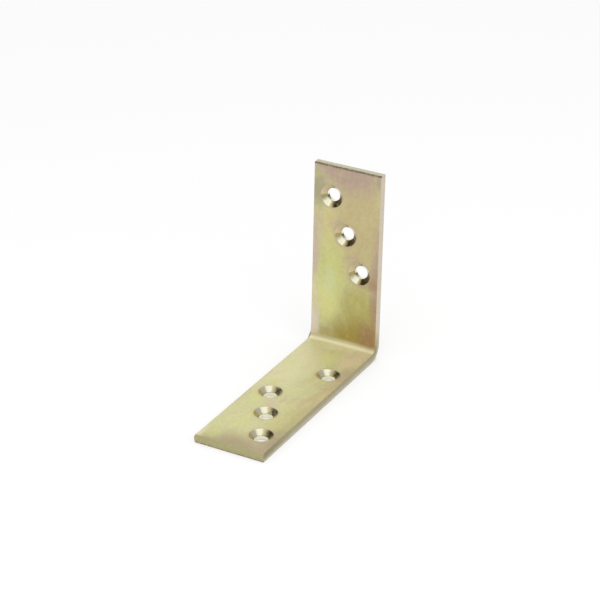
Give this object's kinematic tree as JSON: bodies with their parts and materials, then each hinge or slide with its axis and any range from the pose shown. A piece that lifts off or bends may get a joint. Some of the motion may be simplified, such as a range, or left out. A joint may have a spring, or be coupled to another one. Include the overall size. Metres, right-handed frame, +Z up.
{
  "type": "angle bracket",
  "caption": "Right-angle steel bracket folded from flat bar, with unequal legs and staggered countersunk screw holes.",
  "frame": {"origin": "on the underside of the foot, in the middle of the bracket's width and length", "axes": "+Y runs along the foot from its tip to the wall leg, +Z up the wall leg, +X across the bar"},
  "size_m": [0.0414, 0.13, 0.11],
  "materials": {
    "yellow_zinc": "satin zinc plate with a yellow iridescent passivation"
  },
  "bodies": {
    "root": {"angle_bracket": "yellow_zinc"}
  },
  "joints": []
}
